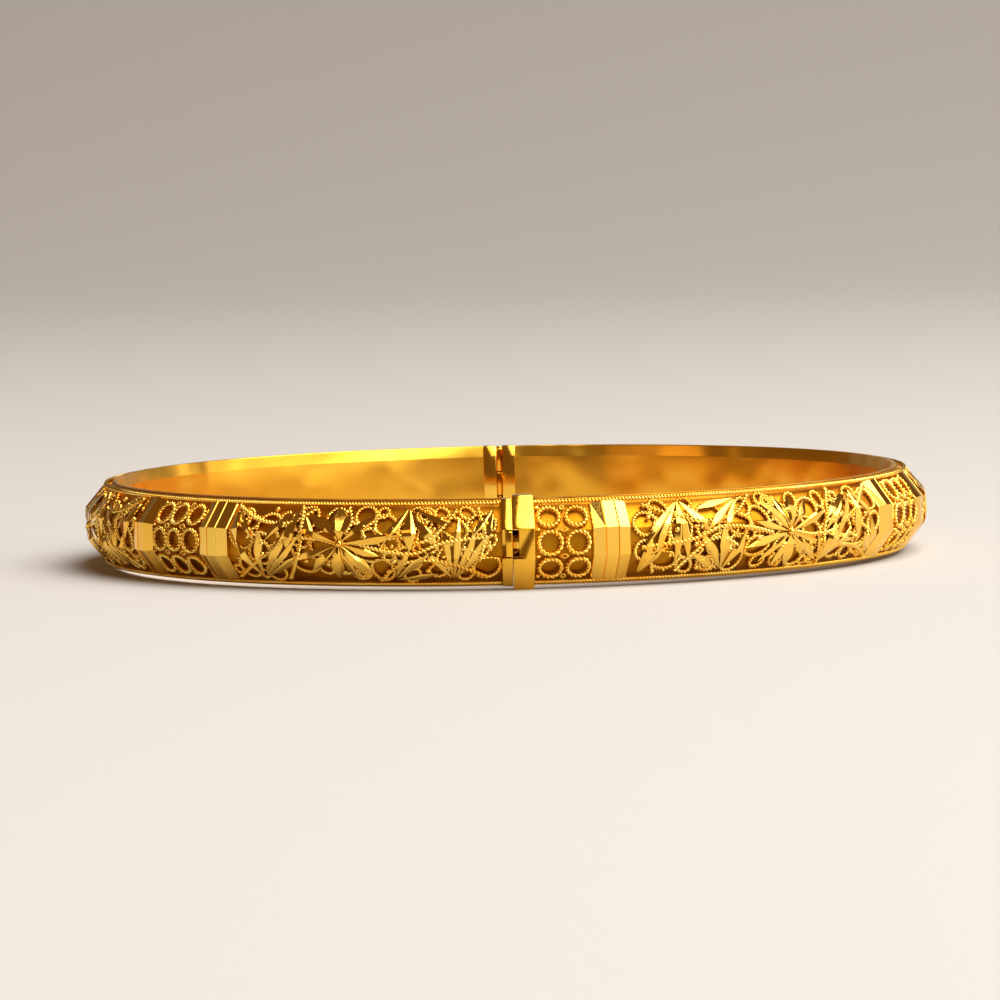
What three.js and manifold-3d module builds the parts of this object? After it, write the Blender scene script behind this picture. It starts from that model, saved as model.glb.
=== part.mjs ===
// A hinged bangle in yellow gold: two half rings of filigree over a polished lining, a pin hinge at the
// back, and a tongue clasp with a thumb piece at the front. Millimetres. The ring's axis is +Z, the front
// of the bangle faces -Y, and z = 0 is the surface that it lies on.
import * as THREE from 'three';
import { mergeVertices } from 'three/addons/utils/BufferGeometryUtils.js';
import Module from 'manifold-3d';

const wasm = await Module();
wasm.setup();

// Band: three facets outside, a plain wall with flared edges inside.
const innerRadius = 30;
const wallDepth = 3; // lining face to the crest of the filigree
const bandHeight = 6.5;
const middleFacetHeight = 2.17;
const rimInset = 1.65; // how far both bevels fall back from the crest to the rim
const ringFacets = 72;

// Sheet and wire of the band.
const liningSheet = 0.35;
const liningFlare = 0.35; // how far the lining's edges turn outwards
const flareHeight = 0.9;
const backingSheet = 0.3;
const filigreeDepth = 0.5;
const rimWireWidth = 0.45;
const solderGap = 0.05; // between pieces that are soldered together

// Pattern along each half, in degrees of the ring.
const rightFirstPanelEnd = 10.4;
const leftFirstPanelEnd = 6.3;
const ringPanelAngle = 10;
const floralPanelAngle = 43.6;
const dividerAngle = 5.2;
const panelPairs = 3; // ring panels, each followed by a floral panel

// Filigree openings.
const ringHoleRadius = 0.62;
const ringPitch = 2.1;
const ringHoleSides = 6;
const ringRowsPerSide = 1;
const flowerRadius = 1.75;
const flowerWaves = 8;
const flowerWaveShare = 0.16;
const flowerStepsPerWave = 2;
const flowerGap = 0.3;
const leafPitch = 2.3;
const leafLength = 4.2;
const leafWidth = 1.1;
const leafTilt = 38; // from the ring's axis
const leafSteps = 6;
const barCount = 3;
const barGroove = 0.25;

// Clasp at the front: the collar on the right half, the tongue and its spring leaf on the left half.
const seamGap = 0.03;
const collarWidth = 1.6;
const collarProud = 0.25; // how far the collar stands out all round
const endPlateWidth = 0.8;
const leafSheet = 0.3;
const tongueReach = 4.8; // from the seam to the fold of the spring
const tongueHeight = 2.8; // along Z
const tongueRoom = 0.3; // between the lining and the tongue
const foldGap = 0.06;
const neckHeight = 0.8;
const neckRoom = 0.15;
const latchStep = 0.35; // what the spring leaf's shoulder catches behind the mouth's lip
const mouthRoom = 0.2;
const thumbWidth = 0.5;
const thumbHeight = 1.9;
const thumbProud = 0.15;
const thumbRoom = 0.1;
const collarSlotWidth = 0.45;

// Hinge at the back.
const knuckleRadius = 0.85;
const pinRadius = 0.4;
const pinClearance = 0.05;
const rivetHeight = 0.15; // how far the pin stands out at each end
const knuckleGap = 0.1;
const hingeHeight = 5.9; // of the three knuckles together
const hingeGap = 0.5; // between the two blocks, seen from inside
const hingeBlockWidth = 1.15;
const hingeClearance = 0.12;
const knuckleSolderGap = 0.03;
const roundSides = 20;

const halfHeight = bandHeight / 2;
const midHeight = halfHeight + collarProud;
const crestRadius = innerRadius + wallDepth;
const rimRadius = crestRadius - rimInset;
const far = 3 * crestRadius; // larger than anything that is cut
const halfTurn = 180;
const wedgeStep = 45; // between the corners of a wedge
const weldTolerance = 1e-4;

const radians = THREE.MathUtils.degToRad;
const degreesOfArc = (length) => THREE.MathUtils.radToDeg(length / crestRadius);

const gold = (color, roughness) => new THREE.MeshStandardMaterial({ color, roughness, metalness: 1 });
const polishedGold = () => gold(0xe8b23a, 0.12);
const backingGold = () => gold(0xb07a1c, 0.35);
const wireGold = () => gold(0xe2ab36, 0.25);

// Geometry to solid and back.
function solid(geometry) {
  const bare = geometry.clone();
  bare.deleteAttribute('normal');
  bare.deleteAttribute('uv');
  const merged = mergeVertices(bare, weldTolerance);
  const vertProperties = merged.attributes.position.array;
  const triVerts = Uint32Array.from(merged.index.array);
  return new wasm.Manifold(new wasm.Mesh({ numProp: 3, vertProperties, triVerts }));
}

function piece(name, shape, material) {
  const cut = shape.getMesh();
  const geometry = new THREE.BufferGeometry();
  geometry.setAttribute('position', new THREE.BufferAttribute(cut.vertProperties, 3));
  geometry.setIndex(new THREE.BufferAttribute(cut.triVerts, 1));
  const mesh = new THREE.Mesh(geometry, material);
  mesh.name = name;
  return mesh;
}

// A full ring whose section is a closed outline of [radius, height], anticlockwise.
function ring(outline) {
  const points = [...outline, outline[0]].map(([radius, height]) => new THREE.Vector2(radius, height));
  return solid(new THREE.LatheGeometry(points, ringFacets).rotateX(Math.PI / 2));
}

// The unit vector at an angle from the front, positive towards +X.
const outwards = (angle) => new THREE.Vector2(Math.sin(radians(angle)), -Math.cos(radians(angle)));

// A wedge of the ring between two angles.
function wedge(from, to) {
  const steps = Math.ceil((to - from) / wedgeStep);
  const angles = Array.from({ length: steps + 1 }, (_, i) => from + ((to - from) * i) / steps);
  const corners = angles.map((angle) => outwards(angle).multiplyScalar(far));
  const shape = new THREE.Shape([new THREE.Vector2(0, 0), ...corners]);
  const cutter = new THREE.ExtrudeGeometry(shape, { depth: 2 * far, bevelEnabled: false });
  return solid(cutter.translate(0, 0, -far));
}

// A box between two opposite corners.
function block([x0, y0, z0], [x1, y1, z1]) {
  const box = new THREE.BoxGeometry(x1 - x0, y1 - y0, z1 - z0);
  return solid(box.translate((x0 + x1) / 2, (y0 + y1) / 2, (z0 + z1) / 2));
}

// A flat outline in X and Y, thickened to a height about the middle of the band.
function plate(corners, height) {
  const shape = new THREE.Shape(corners.map(([x, y]) => new THREE.Vector2(x, y)));
  const sheet = new THREE.ExtrudeGeometry(shape, { depth: height, bevelEnabled: false });
  return solid(sheet.translate(0, 0, -height / 2));
}

// A bar of a given outline that points outwards at an angle and passes through the filigree. The
// outline's first axis runs along the band and its second up.
function outwardBar(outline, angle) {
  const bar = new THREE.ExtrudeGeometry(new THREE.Shape(outline), { depth: far, bevelEnabled: false });
  bar.rotateX(Math.PI / 2);
  bar.rotateZ(radians(angle));
  return solid(bar);
}

// Section of the band. A point of the upper bevel is given by its way down from the rim and its depth
// below the filigree's face; the crest and the lower half follow from it.
const bevelDrop = halfHeight - middleFacetHeight / 2;
const bevelLength = Math.hypot(rimInset, bevelDrop);
const bevelNormal = new THREE.Vector2(bevelDrop, rimInset).divideScalar(bevelLength);

function bevelPoint(down, depth) {
  const radius = rimRadius + (rimInset * down) / bevelLength - depth * bevelNormal.x;
  const height = halfHeight - (bevelDrop * down) / bevelLength - depth * bevelNormal.y;
  return [radius, height];
}

function crestPoint(depth) {
  const height = middleFacetHeight / 2 - (depth * (1 - bevelNormal.x)) / bevelNormal.y;
  return [crestRadius - depth, height];
}

// The bevel's height at a radius, for an edge that stands upright.
function bevelAtRadius(radius, depth) {
  const fall = (crestRadius - radius) * bevelNormal.x - depth;
  return [radius, middleFacetHeight / 2 + fall / bevelNormal.y];
}

// The bevel's radius at a height, for an edge that lies level.
function bevelAtHeight(height, depth) {
  const fall = (height - middleFacetHeight / 2) * bevelNormal.y + depth;
  return [crestRadius - fall / bevelNormal.x, height];
}

const mirrored = ([radius, height]) => [radius, -height];
const facing = (edge, depth) => [mirrored(edge), mirrored(crestPoint(depth)), crestPoint(depth), edge];
const layer = (outer, inner) => [...outer, ...inner.reverse()];

const liningWall = (shift, edgeHeight) => [
  [innerRadius + liningFlare + shift, -edgeHeight],
  [innerRadius + shift, flareHeight - edgeHeight],
  [innerRadius + shift, edgeHeight - flareHeight],
  [innerRadius + liningFlare + shift, edgeHeight],
];

const backingDepth = filigreeDepth + solderGap;
const backingFloor = backingDepth + backingSheet;
const backingEdge = innerRadius + liningFlare + liningSheet + solderGap;
const skinMargin = rimWireWidth + solderGap;

const lining = ring(layer(liningWall(liningSheet, halfHeight), liningWall(0, halfHeight)));
const backing = ring(
  layer(
    facing(bevelAtRadius(backingEdge, backingDepth), backingDepth),
    facing(bevelAtRadius(backingEdge, backingFloor), backingFloor),
  ),
);
const skin = ring(
  layer(facing(bevelPoint(skinMargin, 0), 0), facing(bevelPoint(skinMargin, filigreeDepth), filigreeDepth)),
);
// What lies above the filigree's half depth, for grooves.
const upperSkin = ring(
  layer(
    facing(bevelPoint(0, -solderGap), -solderGap),
    facing(bevelPoint(0, filigreeDepth / 2), filigreeDepth / 2),
  ),
);
const topRim = ring([
  bevelPoint(0, filigreeDepth),
  bevelPoint(rimWireWidth, filigreeDepth),
  bevelPoint(rimWireWidth, 0),
  bevelPoint(0, 0),
]);
const bottomRim = ring([
  mirrored(bevelPoint(0, 0)),
  mirrored(bevelPoint(rimWireWidth, 0)),
  mirrored(bevelPoint(rimWireWidth, filigreeDepth)),
  mirrored(bevelPoint(0, filigreeDepth)),
]);
const fullSection = ring(layer(facing(bevelPoint(0, 0), 0), liningWall(0, halfHeight)));
const collarEdge = bevelAtHeight(halfHeight + collarProud, -collarProud);
const collarSection = ring(
  layer(facing(collarEdge, -collarProud), liningWall(0, halfHeight + collarProud)),
);

// Openings of the filigree.
function circleOutline(radius, sides, x, z) {
  return Array.from({ length: sides }, (_, i) => {
    const turn = (2 * Math.PI * (i + 0.5)) / sides;
    return new THREE.Vector2(x + radius * Math.cos(turn), z + radius * Math.sin(turn));
  });
}

function flowerOutline(grow) {
  const steps = flowerWaves * flowerStepsPerWave;
  return Array.from({ length: steps }, (_, i) => {
    const turn = (2 * Math.PI * i) / steps;
    const radius = flowerRadius * (1 + flowerWaveShare * Math.cos(flowerWaves * turn)) + grow;
    return new THREE.Vector2(radius * Math.cos(turn), radius * Math.sin(turn));
  });
}

// A pointed leaf, tilted from the ring's axis, at a distance along the band.
function leafOutline(x, tilt) {
  return Array.from({ length: leafSteps }, (_, i) => {
    const way = (2 * Math.PI * i) / leafSteps;
    const point = new THREE.Vector2((leafWidth * Math.sin(way)) / 2, (-leafLength * Math.cos(way)) / 2);
    return point.rotateAround(new THREE.Vector2(0, 0), tilt).add(new THREE.Vector2(x, 0));
  });
}

// The holes of a ring panel: a row round the crest and one on each bevel, shifted by half a pitch.
function ringHoles(from, to) {
  const width = 2 * crestRadius * Math.sin(radians(to - from) / 2);
  const rowStep = (bandHeight - 2 * skinMargin) / (2 * ringRowsPerSide + 1);
  const holes = [];
  for (let row = -ringRowsPerSide; row <= ringRowsPerSide; row += 1) {
    const columns = Math.floor(width / ringPitch - (row % 2 === 0 ? 0 : 1) / 2);
    for (let column = 0; column < columns; column += 1) {
      const x = (column - (columns - 1) / 2) * ringPitch;
      holes.push(circleOutline(ringHoleRadius, ringHoleSides, x, row * rowStep));
    }
  }
  return holes.map((outline) => outwardBar(outline, (from + to) / 2));
}

function ringPanel(from, to) {
  return ringHoles(from, to).reduce((panel, hole) => panel.subtract(hole), panelOfSkin(from, to));
}

// A flower's opening in the middle and a row of leaf openings on each side of it.
function floralPanel(from, to) {
  const middle = (from + to) / 2;
  const halfWidth = crestRadius * Math.sin(radians(to - from) / 2);
  const tilt = radians(leafTilt);
  const leafReach = (leafLength * Math.sin(tilt) + leafWidth * Math.cos(tilt)) / 2;
  const first = flowerRadius * (1 + flowerWaveShare) + flowerGap + skinMargin + leafReach;
  let panel = panelOfSkin(from, to).subtract(outwardBar(flowerOutline(flowerGap), middle));
  for (let x = first; x + leafReach + skinMargin < halfWidth; x += leafPitch) {
    panel = panel
      .subtract(outwardBar(leafOutline(x, tilt), middle))
      .subtract(outwardBar(leafOutline(-x, tilt), middle));
  }
  return panel;
}

function flower(from, to) {
  return panelOfSkin(from, to).intersect(outwardBar(flowerOutline(0), (from + to) / 2));
}

// A divider: bars side by side, parted by grooves that go halfway down.
function divider(from, to) {
  const pitch = (to - from) / barCount;
  const groove = degreesOfArc(barGroove) / 2;
  let bars = panelOfSkin(from, to);
  for (let i = 1; i < barCount; i += 1) {
    const middle = from + i * pitch;
    bars = bars.subtract(upperSkin.intersect(wedge(middle - groove, middle + groove)));
  }
  return bars;
}

function panelOfSkin(from, to) {
  const inset = degreesOfArc(solderGap) / 2;
  return skin.intersect(wedge(from + inset, to - inset));
}

// One half of the band, from its start angle to its end angle: ring panel, divider, floral panel,
// divider and so on, the last floral panel taking what is left.
function bandHalf(side, start, firstPanelEnd, end) {
  const half = new THREE.Group();
  const whole = wedge(start, end);
  half.add(
    piece(`${side}_lining`, lining.intersect(whole), polishedGold()),
    piece(`${side}_backing`, backing.intersect(whole), backingGold()),
    piece(`${side}_top_rim_wire`, topRim.intersect(whole), wireGold()),
    piece(`${side}_bottom_rim_wire`, bottomRim.intersect(whole), wireGold()),
  );
  let from = start;
  let dividers = 0;
  const addDivider = () => {
    dividers += 1;
    half.add(piece(`${side}_divider_${dividers}`, divider(from, from + dividerAngle), polishedGold()));
    from += dividerAngle;
  };
  for (let i = 1; i <= panelPairs; i += 1) {
    const ringEnd = i === 1 ? firstPanelEnd : from + ringPanelAngle;
    half.add(piece(`${side}_ring_panel_${i}`, ringPanel(from, ringEnd), wireGold()));
    from = ringEnd;
    addDivider();
    const floralEnd = i === panelPairs ? end : from + floralPanelAngle;
    half.add(
      piece(`${side}_scroll_panel_${i}`, floralPanel(from, floralEnd), wireGold()),
      piece(`${side}_flower_${i}`, flower(from, floralEnd), polishedGold()),
    );
    from = floralEnd;
    if (i < panelPairs) {
      addDivider();
    }
  }
  return half;
}

// Angles at which the end pieces stop, measured from the seam and from the hinge.
const collarAngle = degreesOfArc(seamGap / 2 + collarWidth);
const endPlateAngle = degreesOfArc(seamGap / 2 + endPlateWidth);
const hingeBlockAngle = degreesOfArc(hingeGap / 2 + hingeBlockWidth);
const jointAngle = degreesOfArc(solderGap);

const rightHalf = bandHalf(
  'right',
  collarAngle + jointAngle,
  rightFirstPanelEnd,
  halfTurn - hingeBlockAngle - jointAngle,
);
const leftHalf = bandHalf(
  'left',
  hingeBlockAngle + jointAngle,
  leftFirstPanelEnd,
  halfTurn - endPlateAngle - jointAngle,
);
leftHalf.rotation.z = Math.PI;

// Clasp. Depths are measured from the ring's axis along -Y.
const tongueInner = innerRadius + liningSheet + tongueRoom;
const tongueOuter = tongueInner + leafSheet;
const catchRadius = crestRadius - backingFloor - neckRoom;
const lipRadius = catchRadius - latchStep;
const springHeight = 2 * crestPoint(backingFloor)[1]; // fits under the backing's middle facet
const collarInside = seamGap / 2 + collarWidth;
const shoulder = collarInside + mouthRoom;
const thumbEnd = -seamGap / 2 - thumbWidth;
const rightOfSeam = block([seamGap / 2, -far, -far], [far, far, far]);
const leftOfSeam = block([-far, -far, -far], [-seamGap / 2, far, far]);

const mouthHalf = tongueHeight / 2 + mouthRoom;
const neckHalf = neckHeight / 2 + neckRoom;
const thumbHalf = thumbHeight / 2 + thumbRoom;
const boxCollar = collarSection
  .intersect(wedge(-collarAngle, collarAngle))
  .intersect(rightOfSeam)
  .subtract(block([-far, -lipRadius, -mouthHalf], [far, mouthRoom - tongueInner, mouthHalf]))
  .subtract(block([-far, -catchRadius - neckRoom, -neckHalf], [far, -lipRadius + neckRoom, neckHalf]))
  .subtract(block([-far, -far, -thumbHalf], [seamGap / 2 + collarSlotWidth, -lipRadius, thumbHalf]));
const leftEndPlate = fullSection
  .intersect(wedge(-endPlateAngle, endPlateAngle))
  .intersect(leftOfSeam)
  .subtract(block([-far, -far, -thumbHalf], [far, thumbRoom - tongueOuter, thumbHalf]));
const tongue = block(
  [solderGap - seamGap / 2, -tongueOuter, -tongueHeight / 2],
  [tongueReach, -tongueInner, tongueHeight / 2],
);
const springLeaf = plate(
  [
    [tongueReach, -tongueOuter - foldGap - leafSheet],
    [tongueReach, -tongueOuter - foldGap],
    [shoulder, leafSheet - catchRadius],
    [shoulder, -catchRadius],
  ],
  springHeight,
).add(
  plate(
    [
      [thumbEnd, -catchRadius],
      [shoulder + leafSheet, -catchRadius],
      [shoulder + leafSheet, leafSheet - catchRadius],
      [thumbEnd, leafSheet - catchRadius],
    ],
    neckHeight,
  ).intersect(
    block([-far, -far, -far], [shoulder + solderGap, far, far]),
  ),
);
const thumbPiece = block(
  [thumbEnd, -crestRadius - thumbProud, -thumbHeight / 2],
  [-seamGap / 2, -catchRadius - solderGap, thumbHeight / 2],
);

// Hinge. Its outermost point stands out as far as the collar does.
const hingeY = crestRadius + collarProud - knuckleRadius;
const rightOfHinge = block([hingeGap / 2, -far, -far], [far, far, far]);
const leftOfHinge = block([-far, -far, -far], [-hingeGap / 2, far, far]);

function rod(radius, low, high) {
  const round = new THREE.CylinderGeometry(radius, radius, high - low, roundSides);
  return solid(round.rotateX(Math.PI / 2).translate(0, hingeY, (low + high) / 2));
}

const knuckleHeight = (hingeHeight - 2 * knuckleGap) / 3;
const knuckleEdges = [-hingeHeight / 2, -knuckleHeight / 2, knuckleHeight / 2 + knuckleGap];
const knuckle = (low) => {
  const bore = rod(pinRadius + pinClearance, low - knuckleGap, low + knuckleHeight + knuckleGap);
  return rod(knuckleRadius, low, low + knuckleHeight).subtract(bore);
};
// Room for a knuckle in a block: close to its own, wide round the other half's.
const knuckleRoom = (low, clearance) =>
  rod(knuckleRadius + clearance, low - knuckleGap, low + knuckleHeight + knuckleGap);
const [bottomEdge, middleEdge, topEdge] = knuckleEdges;
const blockSection = fullSection.intersect(wedge(halfTurn - hingeBlockAngle, halfTurn + hingeBlockAngle));
const rightHingeBlock = blockSection
  .intersect(rightOfHinge)
  .subtract(knuckleRoom(bottomEdge, hingeClearance))
  .subtract(knuckleRoom(middleEdge, knuckleSolderGap))
  .subtract(knuckleRoom(topEdge, hingeClearance));
const leftHingeBlock = blockSection
  .intersect(leftOfHinge)
  .subtract(knuckleRoom(bottomEdge, knuckleSolderGap))
  .subtract(knuckleRoom(middleEdge, hingeClearance))
  .subtract(knuckleRoom(topEdge, knuckleSolderGap));

const bangle = new THREE.Group();
bangle.add(
  rightHalf,
  leftHalf,
  piece('right_box_collar', boxCollar, polishedGold()),
  piece('left_end_plate', leftEndPlate, polishedGold()),
  piece('clasp_tongue', tongue, polishedGold()),
  piece('clasp_spring_leaf', springLeaf, polishedGold()),
  piece('clasp_thumb_piece', thumbPiece, polishedGold()),
  piece('right_hinge_block', rightHingeBlock, polishedGold()),
  piece('left_hinge_block', leftHingeBlock, polishedGold()),
  piece('left_bottom_knuckle', knuckle(bottomEdge), polishedGold()),
  piece('right_middle_knuckle', knuckle(middleEdge), polishedGold()),
  piece('left_top_knuckle', knuckle(topEdge), polishedGold()),
  piece(
    'hinge_pin',
    rod(pinRadius, -hingeHeight / 2 - rivetHeight, hingeHeight / 2 + rivetHeight),
    polishedGold(),
  ),
);
bangle.position.z = midHeight;

export default bangle;
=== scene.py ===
# A hinged filigree bangle in yellow gold, lying on a pale table in soft light.
import math

import bmesh
import bpy
import numpy as np
from mathutils import Matrix, Vector


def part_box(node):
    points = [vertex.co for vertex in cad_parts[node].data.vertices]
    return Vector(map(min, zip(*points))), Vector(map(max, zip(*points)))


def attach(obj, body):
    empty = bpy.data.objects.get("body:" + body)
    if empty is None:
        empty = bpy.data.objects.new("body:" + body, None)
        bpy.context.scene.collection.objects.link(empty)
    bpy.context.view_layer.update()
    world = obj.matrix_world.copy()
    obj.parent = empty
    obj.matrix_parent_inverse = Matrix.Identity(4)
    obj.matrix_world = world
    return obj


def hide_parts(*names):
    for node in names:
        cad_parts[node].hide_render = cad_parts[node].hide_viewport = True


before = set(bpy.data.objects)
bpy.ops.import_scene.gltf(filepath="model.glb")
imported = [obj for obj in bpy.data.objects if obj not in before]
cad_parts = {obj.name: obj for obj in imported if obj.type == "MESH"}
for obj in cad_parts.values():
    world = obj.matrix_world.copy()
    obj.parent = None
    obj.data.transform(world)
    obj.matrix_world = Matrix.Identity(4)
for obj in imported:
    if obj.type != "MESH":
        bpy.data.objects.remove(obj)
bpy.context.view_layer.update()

MM = 0.001


# ---------------------------------------------------------------- polished lining
# The wall next to the wrist: one strip of sheet for each half, rolled to a half circle with its edges
# turned out, then polished where it touches the skin. The backing is soldered to its edges.
def colour(hex_code):
    """An sRGB hex colour as linear RGBA."""
    parts = [int(hex_code[i : i + 2], 16) / 255 for i in (1, 3, 5)]
    return (*[c / 12.92 if c <= 0.04045 else ((c + 0.055) / 1.055) ** 2.4 for c in parts], 1)


def node(tree, kind, settings=(), links=()):
    """Adds a node, sets its sockets by name, and links (socket, source output) pairs."""
    made = tree.nodes.new("ShaderNode" + kind)
    for name, value in dict(settings).items():
        made.inputs[name].default_value = value
    for name, source in dict(links).items():
        tree.links.new(source, made.inputs[name])
    return made


PATCH = 30  # a patch of colour is this many grains wide
PATCH_EDGES = (0.35, 0.65)  # where the noise turns from the dark colour to the light one
GRAIN_EDGES = (0.3, 0.7)  # where it turns from the lower roughness to the upper one
RELIEF = 0.5


def gold_finish(name, dark, light, roughness, grain_mm, bump_mm, wave=(10, 0)):
    """A metal whose colour and roughness drift between two values over a grain of the given size, on a
    surface that waves by the given length and height in millimetres."""
    finish = bpy.data.materials.new(name)
    finish.use_nodes = True
    tree = finish.node_tree
    shader = tree.nodes["Principled BSDF"]
    shader.inputs["Metallic"].default_value = 1
    place = node(tree, "TexCoord")
    fine = node(
        tree,
        "TexNoise",
        {"Scale": 1 / (grain_mm * MM), "Detail": 3, "Roughness": 0.55},
        {"Vector": place.outputs["Object"]},
    )
    broad = node(
        tree,
        "TexNoise",
        {"Scale": 1 / (PATCH * grain_mm * MM), "Detail": 2},
        {"Vector": place.outputs["Object"]},
    )
    tint = node(tree, "ValToRGB", {}, {"Fac": broad.outputs["Fac"]})
    for stop, edge, hex_code in zip(tint.color_ramp.elements, PATCH_EDGES, (dark, light)):
        stop.position = edge
        stop.color = colour(hex_code)
    gloss = node(
        tree,
        "MapRange",
        {
            "From Min": GRAIN_EDGES[0],
            "From Max": GRAIN_EDGES[1],
            "To Min": roughness[0],
            "To Max": roughness[1],
        },
        {"Value": fine.outputs["Fac"]},
    )
    length, height = wave
    swell = node(
        tree,
        "TexNoise",
        {"Scale": 1 / (length * MM), "Detail": 1},
        {"Vector": place.outputs["Object"]},
    )
    waves = node(tree, "Bump", {"Strength": 1, "Distance": height * MM}, {"Height": swell.outputs["Fac"]})
    relief = node(
        tree,
        "Bump",
        {"Strength": RELIEF, "Distance": bump_mm * MM},
        {"Height": fine.outputs["Fac"], "Normal": waves.outputs["Normal"]},
    )
    tree.links.new(tint.outputs["Color"], shader.inputs["Base Color"])
    tree.links.new(gloss.outputs["Result"], shader.inputs["Roughness"])
    tree.links.new(relief.outputs["Normal"], shader.inputs["Normal"])
    return finish


# 22 carat sheet, softly polished by hand: deep, warm reflections that blur and sway with its low waves.
# The waves are drawn higher than they are, so that they show on so small a wall.
polished_sheet = gold_finish(
    "polished_gold_sheet", "#f2b02e", "#fbc244", (0.3, 0.3), grain_mm=0.6, bump_mm=0, wave=(5, 0.7)
)

INNER_RADIUS = 30.0
LINING_SHEET = 0.35
FLARE = 0.35
FLARE_HEIGHT = 0.9
low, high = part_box("left_lining")
HALF_HEIGHT = (high.z - low.z) / MM / 2
MIDDLE = (high.z + low.z) / MM / 2


def span(name):
    """The angles of the ring that a CAD node covers, in radians from the front, positive towards +X."""
    turns = [math.atan2(v.co.x, -v.co.y) % math.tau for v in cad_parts[name].data.vertices]
    return min(turns), max(turns)


def finished(piece, material, body, slot, *nodes):
    """Gives a piece its finish, its body and the CAD nodes that it stands for."""
    piece.data.materials.clear()
    piece.data.materials.append(material)
    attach(piece, body)
    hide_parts(*nodes)
    return piece


def only(piece):
    """Makes a piece the one selected and active object."""
    bpy.ops.object.select_all(action="DESELECT")
    piece.select_set(True)
    bpy.context.view_layer.objects.active = piece


def outline_piece(name, corners):
    """A flat face in the plane X = 0, facing along +X, from corners of (radius, height) in millimetres."""
    mesh = bpy.data.meshes.new(name)
    points = [(0, -radius * MM, (MIDDLE + height) * MM) for radius, height in corners]
    mesh.from_pydata(points, [], [range(len(points))])
    piece = bpy.data.objects.new(name, mesh)
    bpy.context.scene.collection.objects.link(piece)
    return piece


SHARP = math.radians(25)  # edges that turn by more than this are rounded


def soften(piece, width_mm, smooth=35):
    """Rounds the sharp edges by a small bevel, and shades smooth what turns by fewer degrees than given."""
    only(piece)
    bevel = piece.modifiers.new("edges", "BEVEL")
    bevel.width = width_mm * MM
    bevel.segments = 2
    bevel.angle_limit = SHARP
    bpy.ops.object.modifier_apply(modifier=bevel.name)
    bpy.ops.object.shade_smooth_by_angle(angle=math.radians(smooth))


STEP_ANGLE = math.radians(1.25)


def spun_band(name, corners, start, end, edge_mm, smooth=35):
    """A length of band: an outline set at the start angle and spun about the ring's axis to the end."""
    piece = outline_piece(name, corners)
    piece.data.transform(Matrix.Rotation(start, 4, "Z"))
    only(piece)
    bpy.ops.object.mode_set(mode="EDIT")
    bpy.ops.mesh.select_all(action="SELECT")
    steps = max(2, round((end - start) / STEP_ANGLE))
    bpy.ops.mesh.spin(steps=steps, angle=start - end, center=(0, 0, 0), axis=(0, 0, 1))
    bpy.ops.mesh.select_all(action="SELECT")
    bpy.ops.mesh.normals_make_consistent(inside=False)
    bpy.ops.object.mode_set(mode="OBJECT")
    soften(piece, edge_mm, smooth=smooth)
    return piece


WALL_SWELL = 0.12  # how far the wall stands in at its middle, which lets it slide over the hand
WALL_POINTS = 11


def wall(shift, reach):
    """The lining's face, from its lower edge up, moved outwards by shift."""
    heights = np.linspace(FLARE_HEIGHT - reach, reach - FLARE_HEIGHT, WALL_POINTS)
    swollen = [(INNER_RADIUS + shift + WALL_SWELL * (h / heights[-1]) ** 2, h) for h in heights]
    edge = INNER_RADIUS + FLARE + shift
    return [(edge, -reach), *swollen, (edge, reach)]


SOLDERED = 0.07 / INNER_RADIUS  # the gap that the solder fills at each end


def full_span(name):
    """The angles of a strip that runs up to the end pieces, which it is soldered to."""
    start, end = span(name)
    return start - SOLDERED, end + SOLDERED


HALVES = {"left": "left_half", "right": "right_half"}
LINING_EDGE = 0.06
LINING_SMOOTH = 6  # in degrees, which keeps the corner of the flare crisp
for side, body in HALVES.items():
    start, end = full_span(f"{side}_lining")
    section = wall(LINING_SHEET, HALF_HEIGHT) + wall(0, HALF_HEIGHT)[::-1]
    lining = spun_band(f"{side}_polished_lining", section, start, end, LINING_EDGE, LINING_SMOOTH)
    finished(lining, polished_sheet, body, "polished_lining", f"{side}_lining")


# ---------------------------------------------------------------- backing
# The outer wall: one strip of sheet for each half, folded lengthwise into three facets. The filigree is
# soldered to it, so it keeps the satin skin of pickled gold that no buff reaches. Its colours are a darker
# gold than the rest, which is painted shade for the recesses under the filigree, where little light falls.
satin_sheet = gold_finish("pickled_gold_sheet", "#a86c0e", "#cc8e1e", (0.42, 0.56), 0.12, 0.003)

CREST = -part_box("left_scroll_panel_2")[0].x / MM
MIDDLE_FACET = 2.17
RIM_INSET = 1.65
FILIGREE_DEPTH = 0.55
BACKING_SHEET = 0.3
BACKING_EDGE = INNER_RADIUS + FLARE + LINING_SHEET + 0.02  # just outside the lining, soldered to it
FOLD = 0.05
HALF_CREST = MIDDLE_FACET / 2
BEVEL = math.hypot(RIM_INSET, HALF_HEIGHT - HALF_CREST)
TILT = math.atan2(RIM_INSET, HALF_HEIGHT - HALF_CREST)
REACH = HALF_CREST + BEVEL


def facets(depth, edge_radius):
    """The three facets at a depth below the filigree's face, from the lower edge up."""
    crest = HALF_CREST - depth * math.tan(TILT / 2)
    edge = HALF_CREST + ((CREST - edge_radius) * math.cos(TILT) - depth) / math.sin(TILT)
    return [(edge_radius, -edge), (CREST - depth, -crest), (CREST - depth, crest), (edge_radius, edge)]


for side, body in HALVES.items():
    start, end = full_span(f"{side}_backing")
    outer = facets(FILIGREE_DEPTH, BACKING_EDGE)
    inner = facets(FILIGREE_DEPTH + BACKING_SHEET, BACKING_EDGE)
    backing = spun_band(f"{side}_folded_backing", outer + inner[::-1], start, end, FOLD)
    finished(backing, satin_sheet, body, "backing_sheet", f"{side}_backing")


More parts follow.
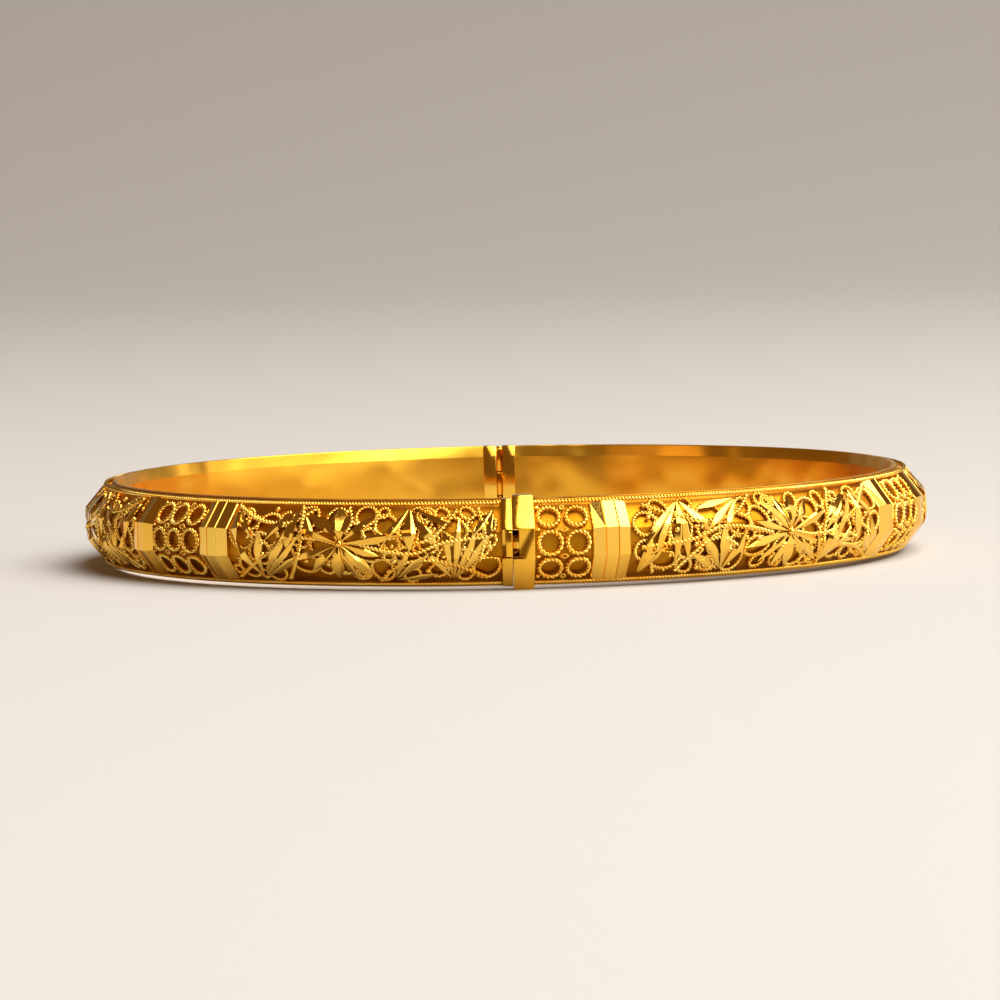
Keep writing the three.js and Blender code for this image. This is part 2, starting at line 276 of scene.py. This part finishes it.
# ---------------------------------------------------------------- rim wires
# A rope of two round wires, twisted tightly together and soldered along both edges of the band. Filigree
# wire is left bright from the pickle and only its high points are burnished, so it glitters.
twisted_wire = gold_finish("burnished_twisted_gold_wire", "#ffc445", "#ffda6e", (0.16, 0.26), 0.09, 0.0012)

ROPE_SIDES = 5
ROPE_STEPS = 7  # along one pitch of the twist
TWIST_PITCH = 1.5  # this and the next two are shares of the rope's width
STRAND_OFFSET = 0.21
STRAND_RADIUS = 0.29
CURVE_STEPS = 16  # between two corners of a path
CIRCLE_CORNERS = 12
FACET_BEND = 0.5  # how wide the soft turn from one facet to the next is


class Flatwork:
    """Filigree laid out flat, in millimetres along the band, across it and up from the backing."""

    def __init__(self):
        self.points, self.faces, self.count = [], [], 0

    def add(self, points, faces):
        self.points.append(np.asarray(points, float))
        self.faces.extend([tuple(self.count + i for i in face) for face in faces])
        self.count += len(points)


def tube(work, centres, sideways, upwards, radius, closed):
    """A round wire through the given centres, with the given frame at each of them."""
    turns = np.arange(ROPE_SIDES) * math.tau / ROPE_SIDES
    across = np.cos(turns)[None, :, None] * sideways[:, None, :]
    around = across + np.sin(turns)[None, :, None] * upwards[:, None, :]
    points = (centres[:, None, :] + radius * around).reshape(-1, 3)
    last = len(centres) - (0 if closed else 1)
    faces = []
    for i in range(last):
        a, b = i * ROPE_SIDES, (i + 1) % len(centres) * ROPE_SIDES
        for j in range(ROPE_SIDES):
            k = (j + 1) % ROPE_SIDES
            faces.append((a + j, a + k, b + k, b + j))
    if not closed:
        faces.append(tuple(range(ROPE_SIDES))[::-1])
        faces.append(tuple(last * ROPE_SIDES + j for j in range(ROPE_SIDES)))
    work.add(points, faces)


def smooth_path(corners, step, closed=False):
    """Points a step apart on a smooth curve through the corners, and the curve's length."""
    corners = np.asarray(corners, float)
    if closed:
        padded = np.vstack([corners[-1:], corners, corners[:2]])
    else:
        padded = np.vstack([2 * corners[0] - corners[1], corners, 2 * corners[-1] - corners[-2]])
    dense = []
    for p0, p1, p2, p3 in zip(padded, padded[1:], padded[2:], padded[3:]):
        for t in np.linspace(0, 1, CURVE_STEPS, endpoint=False):
            curve = 2 * p1 + (p2 - p0) * t + (2 * p0 - 5 * p1 + 4 * p2 - p3) * t * t
            dense.append((curve + (3 * p1 - p0 - 3 * p2 + p3) * t**3) / 2)
    dense.append(corners[0] if closed else corners[-1])
    dense = np.array(dense)
    way = np.concatenate([[0], np.cumsum(np.linalg.norm(np.diff(dense, axis=0), axis=1))])
    count = max(4, round(way[-1] / step))
    stops = np.linspace(0, way[-1], count + 1)[: -1 if closed else None]
    return np.column_stack([np.interp(stops, way, dense[:, i]) for i in range(3)]), way[-1]


def frame_of(path, closed):
    """Sideways and upwards unit vectors along a path that lies nearly flat."""
    ahead = np.roll(path, -1, axis=0) - np.roll(path, 1, axis=0) if closed else np.gradient(path, axis=0)
    ahead[:, 2] = 0
    ahead /= np.linalg.norm(ahead, axis=1)[:, None]
    sideways = np.column_stack([-ahead[:, 1], ahead[:, 0], np.zeros(len(path))])
    return sideways, np.broadcast_to([0.0, 0.0, 1.0], path.shape)


def rope(work, corners, width, closed=False):
    """Twisted wire: two strands that turn about the path."""
    pitch = TWIST_PITCH * width
    path, length = smooth_path(corners, pitch / ROPE_STEPS, closed)
    twists = max(1, round(length / pitch)) if closed else length / pitch
    phase = np.linspace(0, twists * math.tau, len(path), endpoint=not closed)
    sideways, upwards = frame_of(path, closed)
    for turn in (0, math.pi):
        swing = np.cos(phase + turn)[:, None] * sideways + np.sin(phase + turn)[:, None] * upwards
        centres = path + swing * width * STRAND_OFFSET
        tube(work, centres, sideways, upwards, width * STRAND_RADIUS, closed)


def circle(x, y, z, radius):
    """The corners of a flat circle."""
    turns = np.arange(CIRCLE_CORNERS) * math.tau / CIRCLE_CORNERS
    return [(x + radius * math.cos(t), y + radius * math.sin(t), z) for t in turns]


def on_band(points, middle):
    """Flat points bent over the three facets and round the ring, their origin at the angle middle."""
    along, across, height = np.asarray(points).T
    side, away = np.sign(across), np.abs(across)
    down = np.clip(away - HALF_CREST, 0, None)
    depth = FILIGREE_DEPTH - height
    tilt = TILT * np.clip((away - HALF_CREST) / FACET_BEND + 0.5, 0, 1)
    radius = CREST - down * math.sin(TILT) - depth * np.cos(tilt)
    level = np.minimum(away, HALF_CREST) + down * math.cos(TILT) - depth * np.sin(tilt)
    turn = middle + along / CREST
    return np.column_stack([radius * np.sin(turn), -radius * np.cos(turn), MIDDLE + side * level]) * MM


def bent(name, work, middle, smooth=True):
    """A piece from flatwork, bent onto the band."""
    mesh = bpy.data.meshes.new(name)
    points = on_band(np.vstack(work.points), middle)
    mesh.from_pydata([tuple(p) for p in points], [], work.faces)
    mesh.polygons.foreach_set("use_smooth", [smooth] * len(mesh.polygons))
    piece = bpy.data.objects.new(name, mesh)
    bpy.context.scene.collection.objects.link(piece)
    only(piece)
    bpy.ops.object.mode_set(mode="EDIT")
    bpy.ops.mesh.select_all(action="SELECT")
    bpy.ops.mesh.normals_make_consistent(inside=False)
    bpy.ops.object.mode_set(mode="OBJECT")
    return piece


RIM_ROPE = 0.36
RIM_INSIDE = 0.18  # from the band's edge to the middle of the rope
RIM_HEIGHT = 0.32
RIM_END = 0.05
RIM_CORNERS = 40
for side, body in HALVES.items():
    for place, sign in (("top", 1), ("bottom", -1)):
        start, end = full_span(f"{side}_{place}_rim_wire")
        length = (end - start) * CREST
        work = Flatwork()
        stops = np.linspace(RIM_END, length - 2 * RIM_END, RIM_CORNERS)
        rope(work, [(x, sign * (REACH - RIM_INSIDE), RIM_HEIGHT) for x in stops], RIM_ROPE)
        rim = bent(f"{side}_{place}_rim_rope", work, start)
        finished(rim, twisted_wire, body, "filigree_wire", f"{side}_{place}_rim_wire")


# ---------------------------------------------------------------- dividers
# Three bars side by side across the band, mitred over the facets, the outer two falling away from the
# middle one. A diamond tool has planed them, which leaves flat, bright mirrors.
cut_gold = gold_finish("diamond_cut_gold", "#fcc248", "#ffcf5c", (0.06, 0.12), 0.3, 0.0003)

# The middle and width of each bar as shares of the divider, and how far its face falls to one side.
BARS = ((-0.33, 0.32, 0.22), (0, 0.33, 0.06), (0.33, 0.32, -0.22))
BAR_HEIGHT = 0.52
BAR_CHAMFER = 0.05
BAR_END = REACH - RIM_ROPE  # they stop at the rim wires


def bar(work, middle, width, fall):
    """A bar across the band, in one straight run on each facet, its face falling towards one side."""
    left, right = BAR_HEIGHT - max(fall, 0), BAR_HEIGHT + min(fall, 0)
    section = [
        (-width / 2, 0),
        (width / 2, 0),
        (width / 2, right - BAR_CHAMFER),
        (width / 2 - BAR_CHAMFER, right),
        (BAR_CHAMFER - width / 2, left),
        (-width / 2, left - BAR_CHAMFER),
    ]
    stops = (-BAR_END, -HALF_CREST, HALF_CREST, BAR_END)
    points = [(middle + x, y, z) for y in stops for x, z in section]
    sides = len(section)
    faces = [tuple(range(sides)), tuple(3 * sides + i for i in range(sides))[::-1]]
    for run in range(len(stops) - 1):
        for i in range(sides):
            j = (i + 1) % sides
            faces.append((run * sides + i, (run + 1) * sides + i, (run + 1) * sides + j, run * sides + j))
    work.add(points, faces)


DIVIDERS = 5
for side, body in HALVES.items():
    for number in range(1, DIVIDERS + 1):
        start, end = span(f"{side}_divider_{number}")
        length = (end - start) * CREST
        work = Flatwork()
        for middle, width, fall in BARS:
            bar(work, middle * length, width * length, fall)
        bars = bent(f"{side}_cut_bars_{number}", work, (start + end) / 2, smooth=False)
        finished(bars, cut_gold, body, "faceted_bars", f"{side}_divider_{number}")


# ---------------------------------------------------------------- ring panels
# Twisted wire wound on a rod and cut into rings, laid in rows on the backing, each soldered to its
# neighbours, with smaller rings and granules in the gaps.
RING = 0.86  # to the middle of the wire
RING_ROOM = 0.1  # between a ring's wire and the line halfway to the next ring
RING_ROPE = 0.43
RING_HEIGHT = 0.3
RING_PITCH = 2.2
ROW_PITCH = 1.04 * RING_PITCH
ROWS = (-1, 0, 1)
RING_SIZES = (0.92, 1.04)  # shares of the radius, as no two rings are alike
RING_SHIFT = 0.06
FILLERS = ((-1.42, 0.16), (-0.5, 0.24), (0.5, 0.24), (1.42, 0.16))  # place in ring pitches, and radius
FILLER_ROPE = 0.22
FILLER_HEIGHT = 0.26
GRANULE = 0.2
GRANULE_HEIGHT = 0.22


def granule(work, x, y, z, radius):
    """A small ball of gold."""
    ball = bmesh.new()
    bmesh.ops.create_icosphere(ball, subdivisions=2, radius=radius)
    ball.verts.ensure_lookup_table()
    points = [(v.co.x + x, v.co.y + y, v.co.z + z) for v in ball.verts]
    work.add(points, [[v.index for v in f.verts] for f in ball.faces])
    ball.free()


luck = np.random.default_rng(7)
RING_PANELS = 3
for side, body in HALVES.items():
    for number in range(1, RING_PANELS + 1):
        start, end = span(f"{side}_ring_panel_{number}")
        half_length = (end - start) * CREST / 2
        work = Flatwork()
        columns = round(2 * half_length / RING_PITCH)
        column_pitch = 2 * half_length / columns
        for column in range(columns):
            x = -half_length + (column + 0.5) * column_pitch
            for row in ROWS:
                radius = min(RING, column_pitch / 2 - RING_ROOM) * luck.uniform(*RING_SIZES)
                shifted = x + luck.uniform(-RING_SHIFT, RING_SHIFT)
                rope(work, circle(shifted, row * ROW_PITCH, RING_HEIGHT, radius), RING_ROPE, closed=True)
            left = x - column_pitch / 2
            for row, radius in FILLERS:
                y = row * RING_PITCH
                if column:
                    rope(work, circle(left, y, FILLER_HEIGHT, radius), FILLER_ROPE, closed=True)
                else:
                    granule(work, left + GRANULE, y, GRANULE_HEIGHT, GRANULE)
        panel = bent(f"{side}_ring_rows_{number}", work, (start + end) / 2)
        finished(panel, twisted_wire, body, "filigree_wire", f"{side}_ring_panel_{number}")


# ---------------------------------------------------------------- scroll panels
# Between the dividers the backing is covered with loops of twisted wire, packed until they touch. Stems
# of thicker twisted wire sweep over them from edge to edge, and granules are scattered at random over the
# panel.
FREE = REACH - 0.4  # how far the pattern reaches across the band
LOOP_ROPE = 0.38
LOOP_HEIGHT = 0.2
LOOP_SIZES = (1.02, 0.36)  # to the middle of the wire, laid from the largest to the smallest
LOOP_TRIES = 1100
LOOP_SPACING = 0.93  # a share of the two radii, so that neighbours touch
LOOP_REACH = FREE + 0.05
OVALS = (1.0, 1.22)  # how far a loop is pressed out of round
STEM_ROPE = 0.44
STEM_HEIGHT = 0.3
STEM_WAVE = 0.04
FULL_LENGTH = 25.1  # of the panel that the next two are laid out for, from its middle
STEMS = (
    ((-12.2, -3.2), (-9.6, -1.6), (-6.6, 0.2), (-3.8, 0.5), (-1.7, 0.1)),
    ((-6.9, -3.3), (-5.6, -1.5), (-4.9, 0.7), (-5.3, 3.3)),
    ((3.3, 1.5), (4.2, 0.6), (5.6, 0.2), (7.2, 0.9), (8.8, 3.0)),
    ((1.9, -3.3), (3.6, -1.9), (5.8, -1.3), (8.2, -1.6), (11.4, -3.1)),
    ((-12.2, 3.3), (-9.4, 2.1), (-6.2, 1.9), (-3.9, 3.2)),
    ((0.4, 0.1), (2.6, -0.4), (5.2, -0.6), (7.8, 0.2), (11.8, 0.6)),
    ((-0.9, 3.3), (-0.4, 2.0), (-0.8, 0.8)),
    ((10.6, 3.2), (11.2, 0.9), (10.7, -1.4)),
)
COILS = ((6.1, 2.5, 0.78), (-10.9, 2.35, 0.72), (0.4, -2.6, 0.6))  # place and radius
COIL_TURNS = 2.3
COIL_CORNERS = 26
COIL_CLOSING = 0.78  # the share of the radius that is lost on the way in
COIL_ROPE = 0.28
COIL_HEIGHT = 0.34
GRANULES_EACH = 60
GRANULE_SIZES = (0.13, 0.24)
GRANULE_ROOM = 0.25


def coil(work, x, y, radius):
    """A flat spiral of twisted wire, wound inwards."""
    turns = np.linspace(0, COIL_TURNS * math.tau, COIL_CORNERS)
    reach = radius * (1 - COIL_CLOSING * turns / turns[-1])
    corners = [(x + r * math.cos(t), y + r * math.sin(t), COIL_HEIGHT) for r, t in zip(reach, turns)]
    rope(work, corners, COIL_ROPE)


class Layout:
    """How the pattern is turned and stretched to fit one panel."""

    def __init__(self, length, flip_along, flip_across):
        self.x, self.y = flip_along * length / FULL_LENGTH, flip_across
        self.limit = length / 2

    def spot(self, x, y):
        """A place of the full-length pattern, as it falls on this panel."""
        return x * self.x, y * self.y

    def holds(self, x, y, margin):
        """Whether a place on the panel is clear of its edges."""
        return abs(x) < self.limit - margin and abs(y) < FREE - margin

    def kept(self, x, y, radius):
        """The middle of a ring, moved so that the ring stays within the rims."""
        x, y = self.spot(x, y)
        return x, math.copysign(min(abs(y), FREE - radius), y)


def pack_loops(work, layout):
    """Rings of twisted wire, pressed into ovals, laid wherever there is still room for one."""
    laid = []
    for size in np.linspace(*LOOP_SIZES, LOOP_TRIES):
        room_x, room_y = layout.limit - size, LOOP_REACH - size
        x, y = luck.uniform(-room_x, room_x), luck.uniform(-room_y, room_y)
        if all(math.hypot(x - a, y - b) > LOOP_SPACING * (size + other) for a, b, other in laid):
            laid.append((x, y, size))
    for x, y, size in laid:
        long, turn = luck.uniform(*OVALS), luck.uniform(0, math.pi)
        oval = [(u * long, v / long) for u, v, _ in circle(0, 0, 0, size)]
        c, s = math.cos(turn), math.sin(turn)
        turned = [(x + c * u - s * v, y + s * u + c * v) for u, v in oval]
        corners = [(u, math.copysign(min(abs(v), LOOP_REACH), v), LOOP_HEIGHT) for u, v in turned]
        rope(work, corners, LOOP_ROPE, closed=True)


LAYOUTS = {  # of each panel: which way it runs along the band and across it
    "left": ((1, -1), (-1, 1), (1, 1)),
    "right": ((-1, -1), (1, 1), (-1, 1)),
}
SCROLL_PANELS = 3
for side, body in HALVES.items():
    for number in range(1, SCROLL_PANELS + 1):
        start, end = span(f"{side}_scroll_panel_{number}")
        length = (end - start) * CREST
        layout = Layout(length, *LAYOUTS[side][number - 1])
        work = Flatwork()
        pack_loops(work, layout)
        for stem in STEMS:
            corners = [(*layout.kept(x, y, 0), STEM_HEIGHT + STEM_WAVE * math.sin(x)) for x, y in stem]
            rope(work, corners, STEM_ROPE)
        for x, y, radius in COILS:
            coil(work, *layout.kept(x, y, radius), radius)
        for _ in range(GRANULES_EACH):
            x, y = luck.uniform(-layout.limit, layout.limit), luck.uniform(-REACH, REACH)
            if layout.holds(x, y, GRANULE_ROOM):
                granule(work, x, y, STEM_HEIGHT, luck.uniform(*GRANULE_SIZES))
        scroll = bent(f"{side}_scrollwork_{number}", work, (start + end) / 2)
        finished(scroll, twisted_wire, body, "filigree_wire", f"{side}_scroll_panel_{number}")


# ---------------------------------------------------------------- flowers and leaves
# Slender leaves cut from thick wire, hammered to a ridge and planed bright with a diamond tool. They
# radiate from the flower at the middle of each scroll panel and lie on top of the stems.
FLOWER = (-1.3, 0.1)
SPRAYS = (  # root of the spray, then direction in degrees, length, width and bend of each leaf
    (*FLOWER, (
        (100, 3.1, 1.1, 5), (126, 2.8, 0.62, 0), (72, 3.0, 0.62, -8), (44, 3.6, 0.52, 10),
        (11, 4.4, 0.58, 8), (-14, 3.2, 0.5, 0), (-44, 3.4, 0.9, 0), (-73, 3.0, 0.66, 0),
        (-101, 3.0, 0.84, 0), (-133, 3.6, 0.62, 8), (164, 3.8, 0.52, -10), (198, 4.0, 0.56, 10),
    )),
    (8.4, -3.3, (
        (52, 5.2, 0.5, 18), (66, 5.4, 0.55, 18), (80, 5.6, 0.5, 14), (97, 5.0, 0.56, 10),
        (124, 3.4, 0.6, 0),
    )),
    (-9.4, -3.2, (
        (28, 5.2, 0.55, 14), (42, 5.6, 0.5, 14), (58, 5.4, 0.56, 10), (84, 4.8, 0.66, 0),
        (118, 3.4, 0.55, 0),
    )),
    (4.7, 3.3, ((-28, 3.8, 0.52, 0), (-58, 4.0, 0.66, 0), (-88, 3.7, 0.95, 0), (-118, 3.8, 0.52, -8))),
    (-5.4, 3.3, ((-38, 3.8, 0.6, 0), (-66, 3.4, 0.5, 0), (-104, 3.6, 0.84, 0), (-134, 3.8, 0.52, 8))),
    (3.2, -3.2, ((12, 3.6, 0.5, 8), (38, 3.8, 0.62, 8), (62, 3.2, 0.5, 0))),
    (12.0, 3.2, ((-104, 3.4, 0.55, 0), (-124, 3.2, 0.5, 0))),
    (-12.1, 3.2, ((-78, 3.2, 0.6, 0), (-52, 3.2, 0.5, 0))),
)
LEAF_SECTIONS = 9
LEAF_LIFT = 0.4
LEAF_BELLY = 0.6  # where a leaf is widest, as a share of its length
LEAF_FULLNESS = 0.85
LEAF_KEEL = 0.12  # how deep it is below its edges
RIDGE_RISE = 0.3  # this and the next are shares of half its width
RIDGE_PLACE = 0.45
LEAF_REACH = FREE + 0.1
LEAF_FOOT = 0.25  # from the root of the spray to the foot of a leaf
# By how much the leaves differ: in direction, length, lift, lean of the blade, and width.
ASTRAY = (-4, 4)
LENGTHS = (0.92, 1.06)
LIFTS = (-0.05, 0.05)
LEANS = (-0.3, 0.3)
WIDTHS = (1.1, 1.35)
BOSS = 0.3
BOSS_HEIGHT = 0.42
LEAF_SMOOTH = math.radians(28)  # less than the ridge turns, which stays a line


def leaf(work, x, y, direction, length, width, bend, lift, lean):
    """A pointed blade, its root at (x, y), with a broad facet and a narrow one that meet in a ridge."""
    shares = np.linspace(0, 1, LEAF_SECTIONS)[1:-1]
    heading = math.radians(direction)
    way, points = np.array([x, y], float), [(x, y, lift)]
    for share in (*shares, 1):
        turn = heading + math.radians(bend) * (share - 0.5)
        way = way + np.array([math.cos(turn), math.sin(turn)]) * length / (LEAF_SECTIONS - 1)
        if share == 1:
            points.append((*way, lift))
            break
        half = width / 2 * min(share / LEAF_BELLY, (1 - share) / (1 - LEAF_BELLY)) ** LEAF_FULLNESS
        across = np.array([-math.sin(turn), math.cos(turn)]) * half
        points += [
            (*(way + across), lift + lean * half),
            (*(way + across * RIDGE_PLACE), lift + RIDGE_RISE * half),
            (*(way - across), lift - lean * half),
            (*way, lift - LEAF_KEEL),
        ]
    tip, faces = len(points) - 1, []
    for j in range(4):
        k = (j + 1) % 4
        faces.append((0, 1 + j, 1 + k))
        for i in range(LEAF_SECTIONS - 3):
            a, b = 1 + 4 * i, 5 + 4 * i
            faces.append((a + j, b + j, b + k, a + k))
        faces.append((tip - 4 + j, tip, tip - 4 + k))
    work.add(points, faces)


for side, body in HALVES.items():
    for number in range(1, SCROLL_PANELS + 1):
        start, end = span(f"{side}_scroll_panel_{number}")
        layout = Layout((end - start) * CREST, *LAYOUTS[side][number - 1])
        work = Flatwork()
        for x, y, leaves in SPRAYS:
            root = Vector(layout.kept(x, y, 0))
            for direction, length, width, bend in leaves:
                heading = math.radians(direction + luck.uniform(*ASTRAY))
                way = Vector((math.cos(heading) * math.copysign(1, layout.x), math.sin(heading) * layout.y))
                free = (LEAF_REACH - root.y * math.copysign(1, way.y)) / abs(way.y)
                length = min(length * luck.uniform(*LENGTHS), free)
                turned = math.copysign(1, layout.x) * layout.y
                foot = root + way * LEAF_FOOT
                lift = LEAF_LIFT + luck.uniform(*LIFTS)
                lean = luck.uniform(*LEANS)
                width *= luck.uniform(*WIDTHS)
                direction = math.degrees(math.atan2(way.y, way.x))
                leaf(work, *foot, direction, length, width, bend * turned, lift, lean)
        granule(work, *layout.spot(*FLOWER), BOSS_HEIGHT, BOSS)
        flower = bent(f"{side}_cut_flower_{number}", work, (start + end) / 2)
        only(flower)
        bpy.ops.object.shade_smooth_by_angle(angle=LEAF_SMOOTH)
        finished(flower, cut_gold, body, "cut_leaves", f"{side}_flower_{number}")


# ---------------------------------------------------------------- end pieces of the band
# A box collar closes the front of the right half and an end plate that of the left, both cut from thick
# sheet. The collar stands a little proud, and its slot lets the thumb piece in. A block of solid gold at
# the back of each half carries the hinge.
WELD = 0.001 * MM
FLAT = math.radians(3)  # faces that turn by less than this are one


def bodied(name, node_name, edge_mm):
    """A solid of the frame as a piece of its own, welded, with its edges rounded."""
    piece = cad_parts[node_name].copy()
    piece.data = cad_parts[node_name].data.copy()
    piece.parent = None
    for key in list(piece.keys()):
        del piece[key]
    piece.name = name
    piece.data.name = name
    bpy.context.scene.collection.objects.link(piece)
    only(piece)
    bpy.ops.object.mode_set(mode="EDIT")
    bpy.ops.mesh.select_all(action="SELECT")
    bpy.ops.mesh.remove_doubles(threshold=WELD)
    bpy.ops.mesh.dissolve_limited(angle_limit=FLAT)
    bpy.ops.object.mode_set(mode="OBJECT")
    soften(piece, edge_mm)
    return piece


# 22 carat, filed and buffed by hand: small, clear reflections with the faint grain of the buff in them.
polished_fitting = gold_finish("hand_polished_gold_fitting", "#f7b938", "#ffc84c", (0.09, 0.18), 0.2, 0.0008)
ENDS = (  # name, CAD node, body and how far the edges are worn round
    ("box_collar", "right_box_collar", "right_half", 0.035),
    ("end_plate", "left_end_plate", "left_half", 0.03),
    ("opening_hinge_block", "right_hinge_block", "right_half", 0.05),
    ("fixed_hinge_block", "left_hinge_block", "left_half", 0.05),
)
for name, node_name, body, edge in ENDS:
    finished(bodied(name, node_name, edge), polished_fitting, body, "polished_fittings", node_name)


# ---------------------------------------------------------------- clasp
# A tongue of hard sheet with a spring leaf folded back over it. The leaf's shoulders catch behind the
# collar's lip, and a press on the thumb piece frees them.
CLASP = (
    ("tongue", "clasp_tongue", "left_half", 0.05),
    ("spring_leaf", "clasp_spring_leaf", "clasp_leaf", 0.04),
    ("thumb_piece", "clasp_thumb_piece", "clasp_leaf", 0.08),
)
for name, node_name, body, edge in CLASP:
    finished(bodied(name, node_name, edge), polished_fitting, body, "spring_gold", node_name)


# ---------------------------------------------------------------- hinge
# Three lengths of thick tube, soldered in turn to the left and the right half, and a pin through them
# that is riveted over at both ends.
HINGE = (
    ("bottom_knuckle", "left_bottom_knuckle", "left_half", 0.05),
    ("middle_knuckle", "right_middle_knuckle", "right_half", 0.05),
    ("top_knuckle", "left_top_knuckle", "left_half", 0.05),
    ("riveted_pin", "hinge_pin", "left_half", 0.04),
)
for name, node_name, body, edge in HINGE:
    finished(bodied(name, node_name, edge), polished_fitting, body, "polished_fittings", node_name)


# ---------------------------------------------------------------- table, light and camera
# A sheet of pale card that sweeps up behind the bangle, large soft boxes above, to the right and in front,
# and a small warm one on the left. The camera stands low in front, a little to the left.
card = bpy.data.materials.new("pale_card")
card.use_nodes = True
card.node_tree.nodes["Principled BSDF"].inputs["Base Color"].default_value = colour("#bebab3")
card.node_tree.nodes["Principled BSDF"].inputs["Roughness"].default_value = 0.8

CARD_REACH = 1.5
CARD_BEND = 1.0
CARD_STEPS = 24
bpy.ops.mesh.primitive_plane_add(size=2 * CARD_REACH, location=(0, 0, 0))
table_top = bpy.context.object
table_top.name = "table_top"
bpy.ops.object.mode_set(mode="EDIT")
bpy.ops.mesh.select_all(action="DESELECT")
edit = bmesh.from_edit_mesh(table_top.data)
for edge in edit.edges:
    edge.select = all(v.co.y > 0 for v in edge.verts)
bmesh.update_edit_mesh(table_top.data)
bpy.ops.mesh.extrude_region_move(TRANSFORM_OT_translate={"value": (0, 0, CARD_REACH)})
bpy.ops.object.mode_set(mode="OBJECT")
sweep = table_top.modifiers.new("sweep", "BEVEL")
sweep.width = CARD_BEND
sweep.segments = CARD_STEPS
bpy.ops.object.modifier_apply(modifier=sweep.name)
bpy.ops.object.shade_smooth()
table_top.data.materials.append(card)


def softbox(name, place, size, power, tint="#ffffff"):
    """An oblong light of the given size in metres and power in watts, turned to the bangle."""
    lamp = bpy.data.lights.new(name, "AREA")
    lamp.shape = "RECTANGLE"
    lamp.size, lamp.size_y = size
    lamp.energy = power
    lamp.color = colour(tint)[:3]
    made = bpy.data.objects.new(name, lamp)
    made.location = place
    made.rotation_euler = (Vector((0, 0, 0)) - Vector(place)).to_track_quat("-Z", "Y").to_euler()
    bpy.context.scene.collection.objects.link(made)


softbox("overhead", (0.3, -0.12, 0.6), (0.8, 0.65), 7.5)
softbox("right", (0.95, -0.3, 0.6), (2.2, 1.5), 12)
softbox("front", (0.55, -0.7, 0.85), (1.2, 0.9), 6)
softbox("left", (-0.6, -0.4, 0.35), (0.25, 0.25), 0.3, "#ffc890")

world = bpy.data.worlds.new("studio")
bpy.context.scene.world = world
world.use_nodes = True
background = world.node_tree.nodes["Background"]
background.inputs["Color"].default_value = colour("#d9a878")
background.inputs["Strength"].default_value = 0.23
bpy.context.scene.view_settings.view_transform = "Standard"

camera_data = bpy.data.cameras.new("camera")
camera = bpy.data.objects.new("camera", camera_data)
bpy.context.scene.collection.objects.link(camera)
bpy.context.scene.camera = camera
DISTANCE = 16 * CREST * MM
ELEVATION = math.radians(4.1)
AZIMUTH = math.radians(-0.8)
ROLL = math.radians(-1.22)
AIM_LEFT = 0.43  # the point in view, in millimetres from the middle of the ring
AIM_ABOVE = 0.92
camera_data.sensor_width = 36
camera_data.lens = 242
camera_data.clip_end = 20
level = math.cos(ELEVATION)
back = Vector((math.sin(AZIMUTH) * level, -math.cos(AZIMUTH) * level, math.sin(ELEVATION)))
aim = Vector((-AIM_LEFT * MM, 0, (MIDDLE + AIM_ABOVE) * MM))
camera.location = aim + back * DISTANCE
camera.rotation_mode = "QUATERNION"
camera.rotation_quaternion = (-back).to_track_quat("-Z", "Y") @ Matrix.Rotation(ROLL, 4, "Z").to_quaternion()
